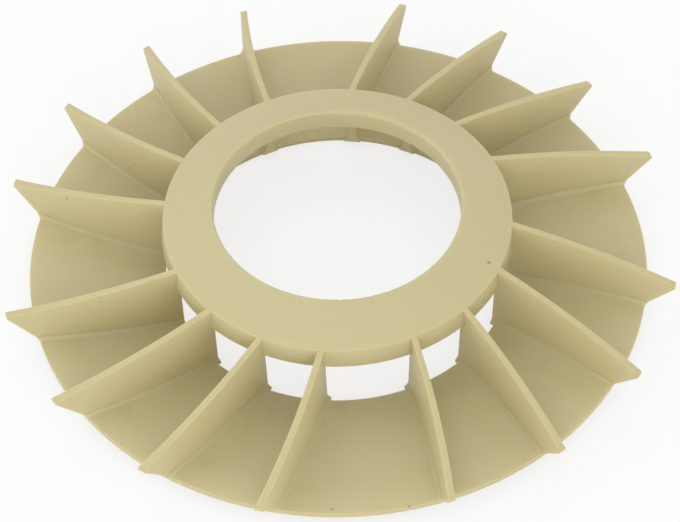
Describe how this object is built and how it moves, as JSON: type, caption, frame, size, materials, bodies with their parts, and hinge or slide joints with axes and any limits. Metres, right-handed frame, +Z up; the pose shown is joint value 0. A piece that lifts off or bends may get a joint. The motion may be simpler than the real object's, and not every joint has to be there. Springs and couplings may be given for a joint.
{
  "type": "cooling fan wheel",
  "caption": "Moulded radial cooling fan wheel: thin disc with curved upright blades under an open centre ring.",
  "frame": {"origin": "on the wheel's axis, in the plane that the disc's inner edge rests on", "axes": "+Z up along the wheel's axis towards the ring; +Y away from the picture's camera, +X to its right"},
  "size_m": [0.1456, 0.1456, 0.0214],
  "materials": {
    "moulded_nylon": "satin"
  },
  "bodies": {
    "root": {"fan_wheel": "moulded_nylon"}
  },
  "joints": []
}
